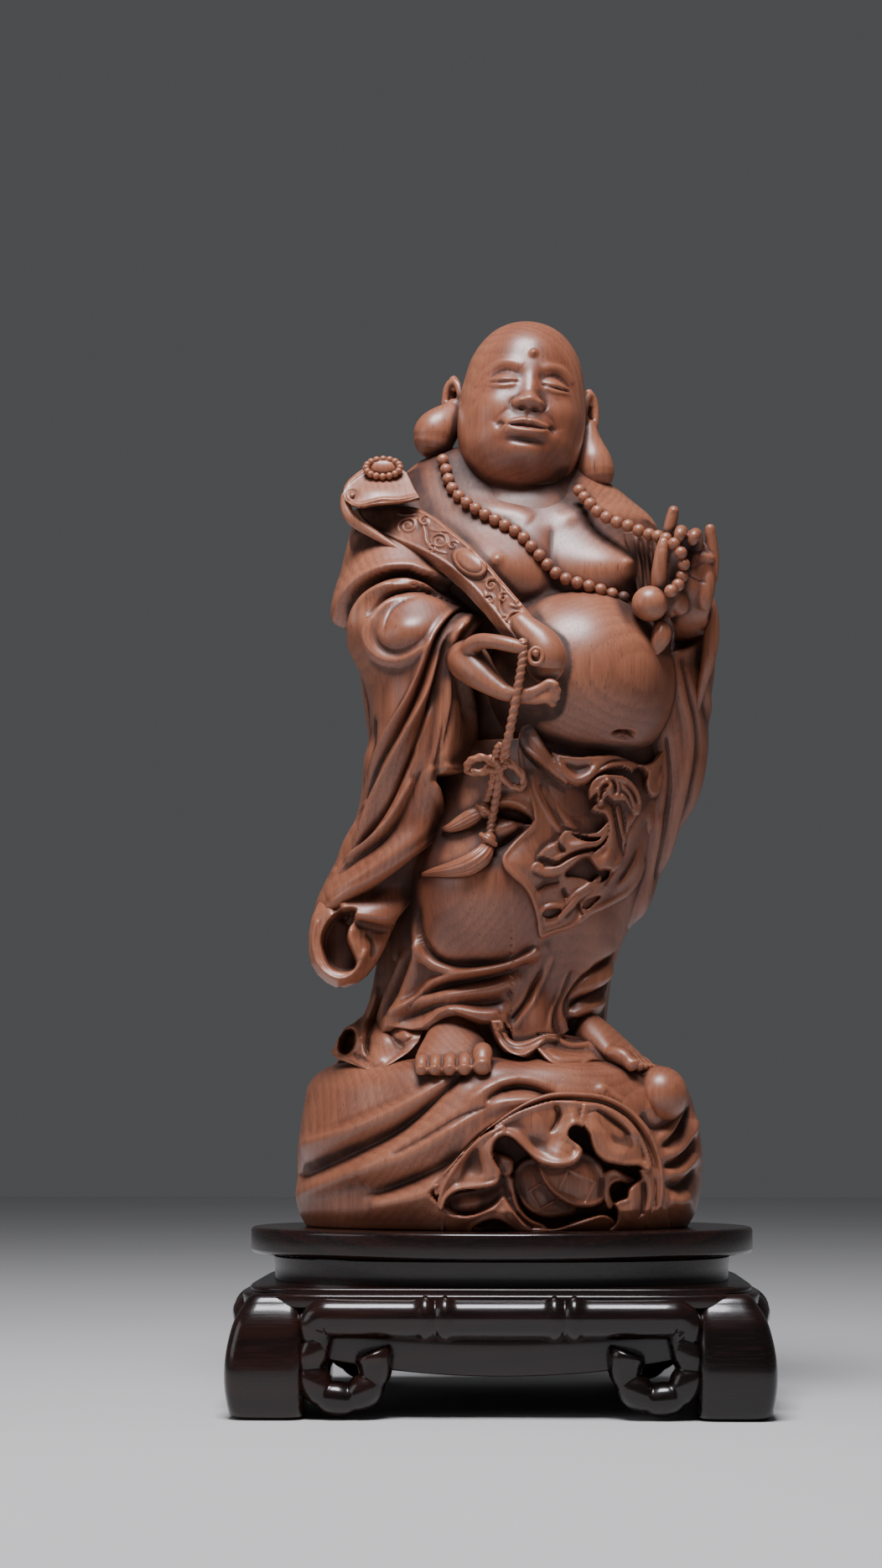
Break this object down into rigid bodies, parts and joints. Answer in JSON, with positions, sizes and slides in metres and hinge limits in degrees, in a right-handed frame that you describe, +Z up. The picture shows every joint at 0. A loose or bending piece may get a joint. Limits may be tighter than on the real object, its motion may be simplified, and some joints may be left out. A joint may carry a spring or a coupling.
{
  "type": "budai figure",
  "caption": "Hardwood carving of a laughing Budai standing on his treasure sack, on a dark waisted stand with scrolled corner legs.",
  "frame": {"origin": "on the ground under the middle of the stand", "axes": "+Z up, the figure faces -Y, its left hand is on +X"},
  "size_m": [0.225, 0.185, 0.4745],
  "materials": {
    "figure_wood": "satin, waxed and polished, fine upright grain",
    "stand_wood": "dark rosewood under glossy lacquer"
  },
  "bodies": {
    "root": {"budai_figure": "figure_wood", "stand_top_board": "stand_wood", "stand_base": "stand_wood"}
  },
  "joints": []
}
